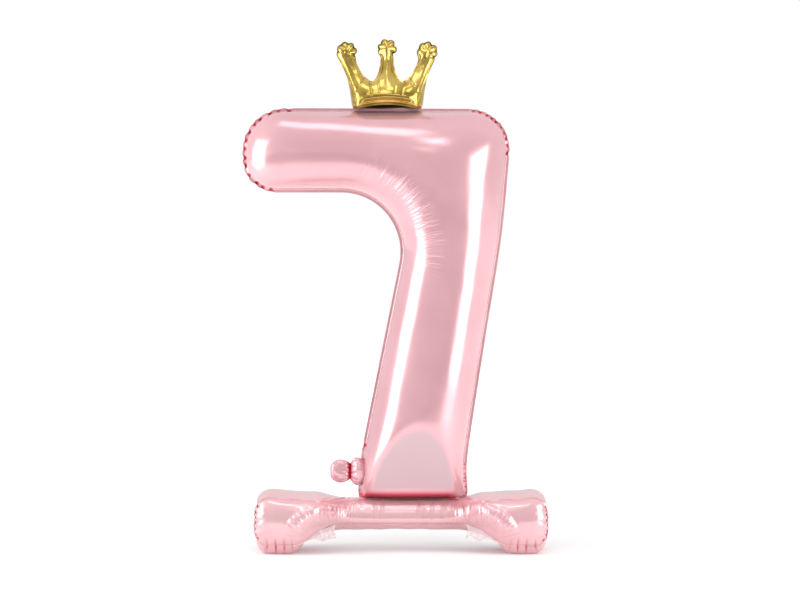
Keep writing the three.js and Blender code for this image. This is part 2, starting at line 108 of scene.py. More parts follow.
def smooth_ring(values, rounds):
    for _ in range(rounds):
        values = 0.25 * np.roll(values, 1, 0) + 0.5 * values + 0.25 * np.roll(values, -1, 0)
    return values


def ring_normals(ring, rounds=2):
    """Outward normals of an anticlockwise ring, and its turning per millimetre."""
    tangent = np.roll(ring, -1, 0) - np.roll(ring, 1, 0)
    normal = np.stack([tangent[:, 1], -tangent[:, 0]], 1)
    normal /= np.linalg.norm(normal, axis=1)[:, None]
    normal = smooth_ring(normal, rounds)
    normal /= np.linalg.norm(normal, axis=1)[:, None]
    along = np.roll(ring, -1, 0) - ring
    length = np.linalg.norm(along, axis=1)
    heading = np.arctan2(along[:, 1], along[:, 0])
    turn = (heading - np.roll(heading, 1) + np.pi) % (2 * np.pi) - np.pi
    return normal, smooth_ring(turn / length, 3)


# ---------------------------------------------------------------- flat meshes


def inside(points, ring):
    """True for each point inside the ring."""
    x, z = points[:, 0][:, None], points[:, 1][:, None]
    a, b = ring, np.roll(ring, -1, 0)
    crosses = (a[:, 1] > z) != (b[:, 1] > z)
    rise = np.where(b[:, 1] == a[:, 1], 1e-9, b[:, 1] - a[:, 1])
    at = (b[:, 0] - a[:, 0]) * (z - a[:, 1]) / rise + a[:, 0]
    return (np.sum(crosses & (x < at), axis=1) % 2) == 1


def nearest(points, ring):
    """Distance to the ring's nearest point and that point's number, for each point."""
    index = np.zeros(len(points), int)
    distance = np.zeros(len(points))
    for start in range(0, len(points), 2000):
        part = points[start : start + 2000]
        d2 = ((part[:, None, :] - ring[None]) ** 2).sum(2)
        index[start : start + 2000] = d2.argmin(1)
        distance[start : start + 2000] = np.sqrt(d2.min(1))
    return distance, index


class Panel:
    """A flat foil panel: rings along the weld, then triangles inside them.

    ring is the weld line. Rings outside it make the flange, and rings inside it are close together
    where the inflated film rises steeply.
    """

    def __init__(self, ring, spacing, flange, depth_scale, flange_rows=2, band_rows=7):
        self.ring = ring
        self.spacing = spacing
        count = len(ring)
        self.normal, self.turn = ring_normals(ring, 10)
        steps = [depth_scale * (1 - math.cos(k * spacing / depth_scale)) for k in range(band_rows + 1)]
        outs = [-flange * (1 - k / flange_rows) for k in range(flange_rows)]
        self.insets = np.array(outs + steps)
        self.weld_row = flange_rows
        rings = [ring - self.normal * inset for inset in self.insets]
        last = rings[-1]
        grid = self._grid(last, spacing)
        inner = np.vstack([last, grid])
        edges = [(i, (i + 1) % count) for i in range(count)]
        result = delaunay_2d_cdt([Vector(p) for p in inner], edges, [], 1, 1e-6)
        verts, faces = np.array([tuple(v) for v in result[0]]), result[2]
        if len(verts) != len(inner):
            raise ValueError("a ring inside the weld crosses itself")
        self.flat = np.vstack(rings[:-1] + [verts])
        rows = len(rings) - 1
        quads = []
        for r in range(rows):
            for i in range(count):
                j = (i + 1) % count
                quads.append((r * count + i, r * count + j, (r + 1) * count + j, (r + 1) * count + i))
        base = rows * count
        self.faces = quads + [tuple(base + k for k in f) for f in faces]
        self.count = count
        self.rows = rows
        structured = (rows + 1) * count
        d_in, near = nearest(self.flat[structured:], ring)
        column = np.tile(np.arange(count), rows + 1)
        self.column = np.concatenate([column, near])
        self.inset = np.concatenate([np.repeat(self.insets, count), d_in])

    @staticmethod
    def _grid(ring, spacing):
        low, high = ring.min(0), ring.max(0)
        height = spacing * math.sqrt(3) / 2
        rows = []
        for r, z in enumerate(np.arange(low[1], high[1], height)):
            x = np.arange(low[0] + (r % 2) * spacing / 2, high[0], spacing)
            rows.append(np.stack([x, np.full_like(x, z)], 1))
        points = np.vstack(rows)
        points = points[inside(points, ring)]
        distance, _ = nearest(points, ring)
        return points[distance > 0.72 * spacing]

    def triangles(self):
        out = []
        for f in self.faces:
            for k in range(1, len(f) - 1):
                out.append((f[0], f[k], f[k + 1]))
        return np.array(out)


def inflation(panel):
    """Solves laplacian(phi) = -1 inside the weld, with cotangent weights and conjugate gradients."""
    p, tri = panel.flat, panel.triangles()
    n = len(p)
    rows, cols, weights = [], [], []
    areas = np.zeros(n)
    for k in range(3):
        a, b, c = tri[:, k], tri[:, (k + 1) % 3], tri[:, (k + 2) % 3]
        ab, ac = p[b] - p[a], p[c] - p[a]
        cross = np.abs(ab[:, 0] * ac[:, 1] - ab[:, 1] * ac[:, 0]) + 1e-12
        cot = np.maximum((ab * ac).sum(1) / cross, 1e-3) / 2
        rows += [b, c]
        cols += [c, b]
        weights += [cot, cot]
        areas += np.bincount(a, cross / 6, n)
    rows, cols, weights = map(np.concatenate, (rows, cols, weights))
    free = np.ones(n, bool)
    free[: (panel.weld_row + 1) * panel.count] = False
    diagonal = np.bincount(rows, weights, n)

    def apply(x):
        return np.where(free, diagonal * x - np.bincount(rows, weights * x[cols], n), 0.0)

    x = np.zeros(n)
    r = np.where(free, areas, 0.0)
    z = r / diagonal
    d = z.copy()
    rz = (r * z).sum()
    first = rz
    for _ in range(1500):
        q = apply(d)
        alpha = rz / (d * q).sum()
        x += alpha * d
        r -= alpha * q
        z = np.where(free, r / diagonal, 0.0)
        new = (r * z).sum()
        if new < 1e-14 * first:
            break
        d = z + new / rz * d
        rz = new
    return np.maximum(x, 0)


def value_noise(x, seed, scale):
    """Smooth one-dimensional noise in -1..1."""
    rng = np.random.default_rng(seed)
    table = rng.uniform(-1, 1, 512)
    t = np.asarray(x, float) / scale
    i = np.floor(t).astype(int)
    f = t - i
    f = f * f * (3 - 2 * f)
    return table[i % 512] * (1 - f) + table[(i + 1) % 512] * f


def vertex_normals(p, tri):
    face = np.cross(p[tri[:, 1]] - p[tri[:, 0]], p[tri[:, 2]] - p[tri[:, 0]])
    out = np.zeros_like(p)
    for k in range(3):
        for c in range(3):
            out[:, c] += np.bincount(tri[:, k], face[:, c], len(p))
    return out / (np.linalg.norm(out, axis=1)[:, None] + 1e-12)


# ---------------------------------------------------------------- puckers


class Puckers:
    """Folds across a weld: where they start along it, how deep they are and how far in they run."""

    def __init__(self, panel, pitch_at, seed, notch=4.0, reach=13.0):
        rng = np.random.default_rng(seed)
        step = np.linalg.norm(np.roll(panel.ring, -1, 0) - panel.ring, axis=1)
        self.along = np.concatenate([[0], np.cumsum(step)[:-1]])
        self.total = step.sum()
        turn = np.clip(panel.turn, 0, None)
        at, found = 0.0, []
        while at < self.total - 4:
            i = int(np.searchsorted(self.along, at)) % len(turn)
            pitch, strength = pitch_at(panel.ring[i], turn[i])
            if strength > 0.02:
                found.append((at, pitch, strength))
                at += pitch * rng.uniform(0.75, 1.25)
            else:
                at += 3.0
        self.at = np.array([f[0] for f in found])
        self.pitch = np.array([f[1] for f in found])
        self.strength = np.array([f[2] for f in found]) * rng.uniform(0.65, 1.25, len(found))
        self.reach = reach * rng.uniform(0.7, 1.5, len(found))
        self.crease = rng.uniform(0, 1, len(found))
        self.lean = rng.uniform(-0.25, 0.25, len(found))
        self.side = rng.choice([-1, 1], len(found))
        self.notch = notch

    def depth(self, panel, film, seed):
        """How far each point sinks, how far the flange bends there, and how much painted shade it gets for
        lying deep in one of the folds.
        """
        rng = np.random.default_rng(seed)
        s = self.along[panel.column]
        sink = np.zeros(len(s))
        bend = np.zeros(len(s))
        shade = np.zeros(len(s))
        keep = rng.uniform(0.6, 1.3, len(self.at))
        for k, at in enumerate(self.at):
            t = (s - at - self.lean[k] * np.maximum(film, 0) + self.total / 2) % self.total - self.total / 2
            near = np.abs(t) < self.pitch[k] * 1.5
            width = self.pitch[k] * 0.5 * (1 + np.maximum(film, 0) / 60)
            valley = np.clip(1 - np.abs(t) / width, 0, 1) ** 1.6
            fade = np.exp(-np.maximum(film, 0) / self.reach[k])
            sink += np.where(near, self.notch * self.strength[k] * valley * fade, 0)
            line = np.exp(-((t / (1.3 + np.maximum(film, 0) * 0.05)) ** 2))
            far = np.exp(-((np.maximum(film, 0) / (self.reach[k] * (1.5 + 2.5 * self.crease[k]))) ** 2))
            rise = 1 - np.exp(-np.maximum(film, 0) / 3)
            sink += np.where(near, 1.5 * self.strength[k] * keep[k] * line * far * rise, 0)
            lobe = np.clip(1 - np.abs(t - self.pitch[k] / 2) / (self.pitch[k] / 2), 0, 1)
            bend += np.where(near, self.side[k] * self.strength[k] * lobe, 0)
            # Painted shade: the colour is darkened down in each of the folds and at the flange's notches.
            painted_shading = np.clip(1 - np.abs(t) / (self.pitch[k] * 0.34), 0, 1) * np.exp(-np.maximum(film, 0) / 3)
            shade += np.where(near, self.strength[k] * painted_shading, 0)
        return sink, bend, shade


def wobble(p, seed, scale, amount, waves=9):
    """Slow uneven swelling of the film: a few crossing waves."""
    rng = np.random.default_rng(seed)
    out = np.zeros(len(p))
    for _ in range(waves):
        direction = rng.normal(size=3)
        direction /= np.linalg.norm(direction)
        length = scale * rng.uniform(0.6, 1.6)
        out += np.sin(p @ direction * 2 * np.pi / length + rng.uniform(0, 2 * np.pi))
    return out * amount / math.sqrt(waves)


def film_from_weld(inset, radius):
    """Length of film from the weld to a point whose distance from it is inset, seen flat."""
    ratio = np.clip(1 - inset / radius, -1, 1)
    return np.where(inset > 0, radius * np.arccos(ratio), inset)


# ---------------------------------------------------------------- meshes


def mesh_object(name, points_mm, faces, levels=1, crease_rows=None, painted_shading=None):
    """A smooth mesh object from points in millimetres. The last argument is painted shading for each
    point: 0..1 is painted shade, deepest down in folds and crevices, and 0..-0.5 a painted paler
    reflection where the film is taut."""
    mesh = bpy.data.meshes.new(name)
    mesh.from_pydata((np.asarray(points_mm) * MM).tolist(), [], [list(map(int, f)) for f in faces])
    mesh.update()
    mesh.polygons.foreach_set("use_smooth", [True] * len(mesh.polygons))
    obj = bpy.data.objects.new(name, mesh)
    bpy.context.scene.collection.objects.link(obj)
    if painted_shading is not None:
        depth = mesh.attributes.new("painted_shading", "FLOAT", "POINT")
        depth.data.foreach_set("value", np.clip(painted_shading, -1, 1).astype(np.float32))
    if crease_rows is not None:
        crease = mesh.attributes.new("crease_edge", "FLOAT", "EDGE")
        ends = np.empty(len(mesh.edges) * 2, int)
        mesh.edges.foreach_get("vertices", ends)
        ends = ends.reshape(-1, 2)
        hit = np.isin(ends, crease_rows).all(1)
        crease.data.foreach_set("value", np.where(hit, 0.85, 0.0).astype(np.float32))
    if levels:
        sub = obj.modifiers.new("smooth", "SUBSURF")
        sub.levels = sub.render_levels = levels
    return obj


def soft_min(a, b, blend=4.0):
    """The lower of two heights, rounded where they meet."""
    low = np.minimum(a, b)
    k = np.clip(low * 0.15, 0.01, blend)
    return low - k * np.log1p(np.exp(-np.abs(a - b) / k))


def chamber_panel(
    name, panel, phi, look, side, puckers, seed, offset=None, swell=None, limit=None, crevice=None
):
    """One inflated panel, with its puckers and its half of the flange.

    look holds fullness, the radius of the film where it leaves the weld, the bend of the flange's
    lobes, how strong the painted shade on the flange and in the creases is, and the unevenness of the
    film. swell adds to the film's height, limit is the height that it can't pass, where the film gets a
    painted paler reflection, and the last argument gives painted shade for a gap between two chambers.
    """
    height = look["fullness"] * np.sqrt(2 * phi)
    taut = np.zeros(len(height))
    if limit is not None:
        taut = smoothstep(height - limit(panel.flat), -1.0, 3.0)
        height = soft_min(height, limit(panel.flat), 2.0)
    film = film_from_weld(panel.inset, look["radius"])
    creases = np.zeros(len(height))
    if swell is not None:
        raised, creases = swell(panel)
        height = height + raised * (1 - np.exp(-np.maximum(film, 0) / 4))
    base = offset(panel.flat) if offset is not None else np.zeros(len(height))
    p = np.stack([panel.flat[:, 0], side * (0.3 + base + height), panel.flat[:, 1]], 1)
    tri = panel.triangles()
    normal = vertex_normals(p, tri if side == FRONT else tri[:, ::-1])
    inward = panel.normal[panel.column]
    near_weld = np.exp(-np.maximum(panel.inset, 0) / 0.8)[:, None]
    flat_normal = np.stack([inward[:, 0], np.zeros(len(p)), inward[:, 1]], 1)
    push = normal * (1 - near_weld) + flat_normal * near_weld
    push /= np.linalg.norm(push, axis=1)[:, None]
    sink, lobes, shade = puckers.depth(panel, film, seed)
    sink = sink + creases
    body = 1 - np.exp(-np.maximum(film, 0) / 10)
    uneven = look["uneven"]
    sink = sink + body * (wobble(p, seed + 5, 110, uneven) + wobble(p, seed + 6, 33, uneven * 0.15))
    p = p - push * sink[:, None]
    out = np.clip(-panel.inset, 0, None)
    wave = value_noise(panel.column * panel.spacing, seed + 9, 14) * 0.5
    p[:, 1] += (lobes * look["bend"] + wave) * (out / 5)
    faces = panel.faces if side == FRONT else [f[::-1] for f in panel.faces]
    weld = np.arange(panel.weld_row * panel.count, (panel.weld_row + 1) * panel.count)
    # Painted shading: painted shade in the puckers, on the flange and in the creases, and a painted paler
    # reflection where the film is taut.
    painted_shading = (
        -0.5 * taut + shade + look["edge"] * (panel.inset < -0.5)
        + look["crease"] * np.clip(creases, 0, 2.5)
    )
    # Painted shade in a gap between chambers, which also takes out the painted paler reflection there.
    if crevice is not None:
        dark = crevice(panel.flat)
        painted_shading = np.where(painted_shading < 0, painted_shading * (1 - np.clip(dark / 0.15, 0, 1)), painted_shading)
        painted_shading = np.where(dark > 0, np.maximum(painted_shading, dark), painted_shading)
    return mesh_object(name, p, faces, crease_rows=weld, painted_shading=painted_shading)


# ---------------------------------------------------------------- number

ARM_TOP, ARM_BOTTOM, ARM_LEFT = 725.0, 587.0, -250.0
ELBOW = (-88.0, 490.0, 97.0)
SHOULDER = (122.0, 658.0, 66.0)
LEAN = 11.4
STEM_BOTTOM = 81.5  # the flange there is tucked between the two ridges of the base
WEDGE_FROM, WEDGE_BELLY, WEDGE_SLOPE = 100.0, 25.0, 0.41  # the flat facet over the rounded bottom edge
# edge and crease set how strong the painted shade on the flange and in the creases is.
NUMBER_LOOK = {"fullness": 0.9, "radius": 75.0, "bend": 2.4, "edge": 0.14, "crease": 0.0, "uneven": 0.28}


def number_outline():
    cx, cz, r = ELBOW
    lean = math.radians(LEAN)
    start = (cx + r * math.cos(lean), cz - r * math.sin(lean))
    eased = (start[0] - math.tan(lean) * (start[1] - 170), 170)
    right = [
        (107, STEM_BOTTOM + 0.5), (119, STEM_BOTTOM + 10),
        (118, 132), (121, 175), (147, 345), (174, 515), (188, 658),
    ]
    return np.vstack(
        [
            [(-48, STEM_BOTTOM), (60, STEM_BOTTOM)],
            spline(right),
            arc(SHOULDER[0], SHOULDER[1], SHOULDER[2], 0, 90),
            arc(ARM_LEFT + 70, ARM_TOP - 70, 70, 90, 180),
            arc(ARM_LEFT + 55, ARM_BOTTOM + 55, 55, 180, 270),
            arc(cx, cz, r, 90, -LEAN),
            quadratic(eased, (-59, 130), (-61, STEM_BOTTOM + 14)),
            quadratic((-61, STEM_BOTTOM + 14), (-61, STEM_BOTTOM), (-48, STEM_BOTTOM)),
        ]
    )


def number_pitch(point, turn):
    """Pitch and strength of the puckers at a point of the number's weld."""
    x, z = point
    if z < 150:
        return (8, 0.55) if z > 92 and turn > -0.002 else (18, 0)
    if turn < 0.003:
        return 20, 0
    return (10.5, 0.8) if x > 0 else (14.5, 0.95)


def stem_limit(flat):
    rise = (flat[:, 1] - WEDGE_FROM) * WEDGE_SLOPE + WEDGE_BELLY
    return np.where(flat[:, 1] < 320, rise, 1000.0)


def stem_crevice(flat):
    """Painted shade on the number's bottom edge, where it presses on the base."""
    inner = 1 - smoothstep(np.abs(flat[:, 0] - 22), 60, 92)
    return np.clip((105 - flat[:, 1]) / 15, 0, 1) ** 1.5 * inner


def build_number():
    weld = resample(inset_outline(resample(number_outline(), 4.0), 5.0), 3.0)
    panel = Panel(weld, 3.6, 5.0, 75.0)
    phi = inflation(panel)
    puckers = Puckers(panel, number_pitch, 11, notch=3.2, reach=8.0)
    out = []
    for side, word in ((FRONT, "front"), (BACK, "back")):
        foil = chamber_panel(
            f"number_foil_{word}", panel, phi, NUMBER_LOOK, side, puckers, 20 + side,
            limit=stem_limit, crevice=stem_crevice,
        )
        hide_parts(f"number_{word}_panel")
        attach(foil, "number")
        out.append(foil)
    return out


def inset_outline(ring, distance):
    normal, _ = ring_normals(ring, 1)
    moved = ring - normal * distance
    d, _ = nearest(moved, ring)
    return moved[d > 0.97 * distance]


# ---------------------------------------------------------------- base

BASE_X, BASE_HALF = 10.0, 238.5
BASE_TOP_END, BASE_TOP_MIDDLE, SOLE_SEAM, ARCH_SEAM = 93.0, 88.0, 13.0, 45.0
RIDGE_SPREAD, BAR_SPREAD = (84.0, 140.0), (95.0, 172.0)
FOOT_DEPTH, BAR_DEPTH, RIDGE_DEPTH = 60.0, 21.0, 1.6
SOLE_MIDDLE, SOLE_HALF = 198.0, 40.0  # from the base's middle to where the sole is lowest, and its reach
SHOULDER_AWAY, SHOULDER_Z = 133.0, 22.0  # centre that the tube of a shoulder bends round
SHOULDER_RADIUS, SHOULDER_HALF = 42.0, 19.0
BAR_CREASES = (
    # place along the bar, lean, depth
    (-33, 0.12, 1.1),
    (-22, 0.2, 1.3),
    (38, 0.1, 1.2),
    (46, -0.05, 0.8),
    (60, 0.04, 1.0),
    (77, 0.1, 1.2),
)
SOLE_PLEATS = ((216, 2.2), (202, 2.6), (188, 2.4), (176, 1.6))  # from the base's middle, and depth
# edge and crease set how strong the painted shade on the flange and in the creases is.
BASE_LOOK = {"fullness": 0.62, "radius": 30.0, "bend": 2.0, "edge": 0.1, "crease": 0.16, "uneven": 0.2}


def smoothstep(value, low, high):
    t = np.clip((np.asarray(value, float) - low) / (high - low), 0, 1)
    return t * t * (3 - 2 * t)


def lerp(a, b, t):
    return a + (b - a) * t


def base_outline():
    right = BASE_X + BASE_HALF
    rise = (176 + 92) / 2
    middle = SOLE_SEAM + (ARCH_SEAM - SOLE_SEAM) * 0.62
    half = [
        quadratic((BASE_X + 92, ARCH_SEAM), (BASE_X + 112, ARCH_SEAM), (BASE_X + rise, middle)),
        quadratic((BASE_X + rise, middle), (BASE_X + 162, SOLE_SEAM), (BASE_X + 176, SOLE_SEAM)),
        arc(right - 27, SOLE_SEAM + 27, 27, -90, 0),
        arc(right - 27, BASE_TOP_END - 27, 27, 0, 90),
        quadratic(
            (right - 27, BASE_TOP_END), (BASE_X + 158, BASE_TOP_MIDDLE), (BASE_X + 118, BASE_TOP_MIDDLE)
        ),
    ]
    half = np.vstack(half)
    other = half[::-1] * [-1, 1] + [2 * BASE_X, 0]
    return np.vstack([half, other])


def base_half_depth(flat):
    away = np.abs(flat[:, 0] - BASE_X)
    upper = lerp(RIDGE_DEPTH, FOOT_DEPTH, smoothstep(away, *RIDGE_SPREAD))
    lower = lerp(BAR_DEPTH, FOOT_DEPTH, smoothstep(away, *BAR_SPREAD))
    height = np.clip((flat[:, 1] - ARCH_SEAM) / (BASE_TOP_MIDDLE - ARCH_SEAM), 0, 1)
    return lerp(lower, upper, height)


def under_number(x):
    """1 where the number stands on the base, 0 beyond its ends."""
    return 1 - smoothstep(np.abs(x - 22), 58, 92)


def base_bulge(flat, normal):
    away = np.abs(flat[:, 0] - BASE_X)
    up, down = normal[:, 1], -normal[:, 1]
    top = lerp(0.5, 11.0, smoothstep(away, *RIDGE_SPREAD))
    above = lerp(3.0, top, smoothstep(up, 0.3, 0.95))
    foot = smoothstep(away, *BAR_SPREAD)
    sole = lerp(3.0, 20.0, np.clip(1 - ((away - SOLE_MIDDLE) / SOLE_HALF) ** 2, 0, 1))
    below = lerp(3.0, lerp(12.0, sole, foot), smoothstep(down, 0.3, 0.9))
    out = np.where(up > 0.3, above, np.where(down > 0.3, below, 3.0))
    power = np.where(down > 0.3, lerp(2.0, 8.0, foot), 2.0)
    return out, power


def gusset_object(
    name, panel, columns, puckers, half_depth, bulge_at, rows, seed,
    floor=0.0, pleats=None, dark=None, taper=0,
):
    """The band of foil from a stretch of the front weld to the same stretch of the back weld."""
    weld, normal = panel.ring[columns], panel.normal[columns]
    half = half_depth(weld) + 0.3
    out, power = bulge_at(weld, normal)
    across = np.linspace(-1, 1, rows)
    # Rows crowd towards the welds, where the film turns over.
    across = np.sign(across) * (1 - (1 - np.abs(across)) ** 1.25)
    if taper:
        place = np.arange(len(columns))
        out = out * smoothstep(np.minimum(place, place[::-1]), 0, taper)
    rise = 1 - np.abs(across)[None] ** power[:, None]
    film = (1 - np.abs(across))[None] * half[:, None]
    sink, shade = np.zeros_like(film), np.zeros_like(film)
    row_panel = type("Row", (), {})()
    for j in range(rows):
        row_panel.column = columns
        sink[:, j], _, shade[:, j] = puckers.depth(row_panel, film[:, j], seed + (j > rows // 2))
    if pleats is not None:
        pleat = (
            pleats(weld[:, 0])[:, None] * np.exp(-film / 9) * smoothstep(-normal[:, 1], 0.5, 0.9)[:, None]
        )
        # The pleats get painted shade as well as sinking.
        sink, shade = sink + pleat, shade + 0.35 * pleat
    # Painted shade from the given mask, such as under the crown and between the bar's ridges.
    if dark is not None:
        shade = np.maximum(shade, dark(weld, normal)[:, None])
    shift = out[:, None] * rise - sink
    x = weld[:, 0][:, None] + normal[:, 0][:, None] * shift
    z = weld[:, 1][:, None] + normal[:, 1][:, None] * shift
    y = across[None] * half[:, None]
    p = np.stack([x, y, z], 2).reshape(-1, 3)
    soft = np.clip(film.reshape(-1) / 12, 0, 1)
    n3 = np.stack([normal[:, 0], np.zeros(len(columns)), normal[:, 1]], 1)
    p += np.repeat(n3, rows, 0) * (soft * wobble(p, seed, 60, 0.5))[:, None]
    p[:, 2] = np.maximum(p[:, 2], floor)
    faces = []
    for i in range(len(columns) - 1):
        for j in range(rows - 1):
            a = i * rows + j
            faces.append((a, a + 1, a + rows + 1, a + rows))
    return mesh_object(name, p, faces, painted_shading=shade.reshape(-1))


def base_pitch(point, turn):
    """Pitch and strength of the puckers at a point of the base's weld."""
    x, z = point
    away = abs(x - BASE_X)
    if away > 214 and 22 < z < 80:
        return 8.5, 1.15
    return 20, 0


def base_pleats(x):
    """Pleats of the sole seam: the film on both sides of it is pulled into them."""
    away = np.abs(x - BASE_X)
    return sum(depth * np.exp(-(((away - at) / 1.5) ** 2)) for at, depth in SOLE_PLEATS)


def base_top_painted_shade(weld, normal):
    """Painted shade between the bar's two ridges, where the number stands."""
    return 0.65 * under_number(weld[:, 0])


def shoulder_place(x, z, side):
    """Where a point lies on the tube that turns from the bar down into a foot.

    Gives its place along the tube, from the corner towards the foot, and its distance out from the
    tube's middle line.
    """
    u = side * (x - BASE_X) - SHOULDER_AWAY
    w = z - SHOULDER_Z
    angle = np.arctan2(np.maximum(u, 0), np.maximum(w, -30))
    along = np.where(u > 0, angle * SHOULDER_RADIUS, u)
    across = np.where(u > 0, np.hypot(u, w), w) - SHOULDER_RADIUS
    return along, across


def base_swell(panel):
    """The raised shoulders, and the creases that fan over them and cross the bar."""
    rng = np.random.default_rng(5)
    x, z = panel.flat[:, 0], panel.flat[:, 1]
    raised, sink = np.zeros(len(x)), np.zeros(len(x))
    for side in (-1, 1):
        along, across = shoulder_place(x, z, side)
        profile = np.clip(1 - (across / SHOULDER_HALF) ** 2, 0, 1)
        reach = smoothstep(along, -75, -20) * (1 - smoothstep(along, 38, 72))
        raised += 6.5 * profile * reach
        at = -62.0
        while at < 62:
            lean = rng.uniform(-0.12, 0.12)
            width, depth = rng.uniform(1.3, 2.2), rng.uniform(0.5, 1.5)
            line = np.exp(-(((along - at - lean * across) / width) ** 2))
            sink += depth * line * np.clip(profile * 1.6, 0, 1) * smoothstep(along, -75, -55)
            at += rng.uniform(5, 9.5)
    sink += base_pleats(x) * (1 - smoothstep(z, 20, 34))
    for at, lean, depth in BAR_CREASES:
        t = x - at - lean * (z - 66)
        window = smoothstep(z, 50, 60) * (1 - smoothstep(z, 80, 86))
        sink += depth * np.exp(-((t / 1.8) ** 2)) * window
    return raised, sink


def build_base():
    weld = resample(inset_outline(resample(base_outline(), 3.0), 2.2), 2.2)
    panel = Panel(weld, 2.4, 2.2, 30.0, band_rows=6)
    phi = inflation(panel)
    puckers = Puckers(panel, base_pitch, 31, notch=3.0, reach=7.0)
    out = []
    for side, word in ((FRONT, "front"), (BACK, "back")):
        foil = chamber_panel(
            f"base_foil_{word}",
            panel,
            phi,
            BASE_LOOK,
            side,
            puckers,
            40 + side,
            offset=base_half_depth,
            swell=base_swell,
        )
        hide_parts(f"base_{word}_panel")
        out.append(foil)
    order = np.arange(panel.count)
    middle = (BASE_TOP_END + SOLE_SEAM) / 2
    left = int(np.argmin(np.abs(weld[:, 1] - middle) + (weld[:, 0] - BASE_X)))
    right = int(np.argmin(np.abs(weld[:, 1] - middle) - (weld[:, 0] - BASE_X)))
    lower = np.roll(order, -left)[: (right - left) % panel.count + 1]
    upper = np.roll(order, -right)[: (left - right) % panel.count + 1]
    for columns, word, dark in ((lower, "bottom", None), (upper, "top", base_top_painted_shade)):
        foil = gusset_object(
            f"base_foil_{word}", panel, columns, puckers, base_half_depth, base_bulge, 21, 50,
            pleats=base_pleats, dark=dark,
        )
        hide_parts(f"base_{word}_gusset")
        out.append(foil)
    for foil in out:
        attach(foil, "base")
    return out


# ---------------------------------------------------------------- crown

CROWN_X, CROWN_Z = -13.0, 722.0
CROWN_DEPTH, CROWN_DEPTH_TOP = 22.0, 90.0
# edge and crease set how strong the painted shade on the flange and in the creases is.
CROWN_LOOK = {"fullness": 0.6, "radius": 16.0, "bend": 1.0, "edge": 0.2, "crease": 0.2, "uneven": 0.2}
CROWN_FOLDS = (
    # from x and z to x and z, half width, depth
    (-28, 46, -24, 22, 1.5, 1.6),
    (28, 46, 24, 22, 1.5, 1.6),
    (-37, 50, -50, 30, 1.8, 1.6),
    (37, 50, 50, 28, 1.8, 1.6),
    (-15, 46, -12, 26, 1.3, 1.1),
    (15, 46, 12, 26, 1.3, 1.1),
)


def crown_outline():
    side, middle, valley, neck = (66.0, 95.0, 17.5), (0.0, 100.5, 16.5), (25.0, 46.0), 12.5
    foot, rise = 50.0, 7.0
    a, b = math.radians(-40), math.radians(215)
    start = (side[0] + side[2] * math.cos(a), side[1] + side[2] * math.sin(a))
    end = (side[0] + side[2] * math.cos(b), side[1] + side[2] * math.sin(b))
    c = math.radians(-52)
    stem = (middle[2] * math.cos(c), middle[1] + middle[2] * math.sin(c))
    right = np.vstack(
        [
            quadratic((0, rise), (foot / 2, rise), (foot, 0)),
            quadratic((foot, 0), (foot + 8, 45), start),
            arc(*side, -40, 215, 1.0),
            quadratic(end, (44, 54), valley),
            quadratic(valley, (neck, 50), stem),
            arc(*middle, -52, 90, 1.0),
        ]
    )
    left = right[::-1] * [-1, 1]
    return np.vstack([right, left]) + [CROWN_X, CROWN_Z]


def crown_half_depth(flat):
    return CROWN_DEPTH * (1 - smoothstep(flat[:, 1] - CROWN_Z, 0, CROWN_DEPTH_TOP))


def crown_bulge(flat, normal):
    """The gusset bulges at the sides, and under the foot it hangs down to the number's top edge."""
    down = smoothstep(-normal[:, 1], 0.3, 0.9)
    hang = np.maximum(flat[:, 1] - (CROWN_Z + 1.8), -2.0)
    out = lerp(9.0 * crown_half_depth(flat) / CROWN_DEPTH, hang, down)
    return out, np.full(len(out), 2.0)


def crown_underside_painted_shade(weld, normal):
    """Painted shade on the underside of the crown."""
    return 0.75 * smoothstep(-normal[:, 1], 0.5, 0.95)


def crown_band_painted_shade(flat):
    """Painted shade along the hollow of the band, over the step of the foot."""
    x, z = flat[:, 0] - CROWN_X, flat[:, 1] - CROWN_Z
    return 0.4 * np.exp(-(((z - 24) / 5.5) ** 2)) * (1 - smoothstep(np.abs(x), 34, 50))


def crown_pitch(point, turn):
    z = point[1] - CROWN_Z
    if z > 74 and turn > 0.02:
        return 12.0, 1.25
    return 12, 0


def crown_swell(panel):
    """The roof-like spikes, the folds from each valley into the band, and the step over the foot."""
    x, z = panel.flat[:, 0] - CROWN_X, panel.flat[:, 1] - CROWN_Z
    raised, sink = np.zeros(len(x)), np.zeros(len(x))
    spike = smoothstep(z, 36, 60) * (1 - smoothstep(z, 100, 112))
    raised += 3.4 * np.clip(1 - np.abs(x) / 9, 0, 1) * spike
    for side in (-1, 1):
        middle = side * (38 + (z - 50) * 0.56)
        raised += (
            2.4 * np.clip(1 - np.abs(x - middle) / 8, 0, 1)
            * smoothstep(z, 46, 66) * (1 - smoothstep(z, 92, 104))
        )
    arch = 7 * (1 - (x / 52) ** 2)
    raised += 3.0 * np.exp(-(((z - arch - 14) / 6) ** 2)) * (1 - smoothstep(np.abs(x), 30, 46))
    raised -= 2.0 * np.exp(-(((z - arch - 7.5) / 2.2) ** 2)) * (1 - smoothstep(np.abs(x), 30, 46))
    for x0, z0, x1, z1, width, depth in CROWN_FOLDS:
        ax, az = x1 - x0, z1 - z0
        t = np.clip(((x - x0) * ax + (z - z0) * az) / (ax * ax + az * az), 0, 1)
        off = np.hypot(x - x0 - t * ax, z - z0 - t * az)
        sink += depth * np.exp(-((off / width) ** 2)) * (1 - 0.6 * t)
    return raised, sink


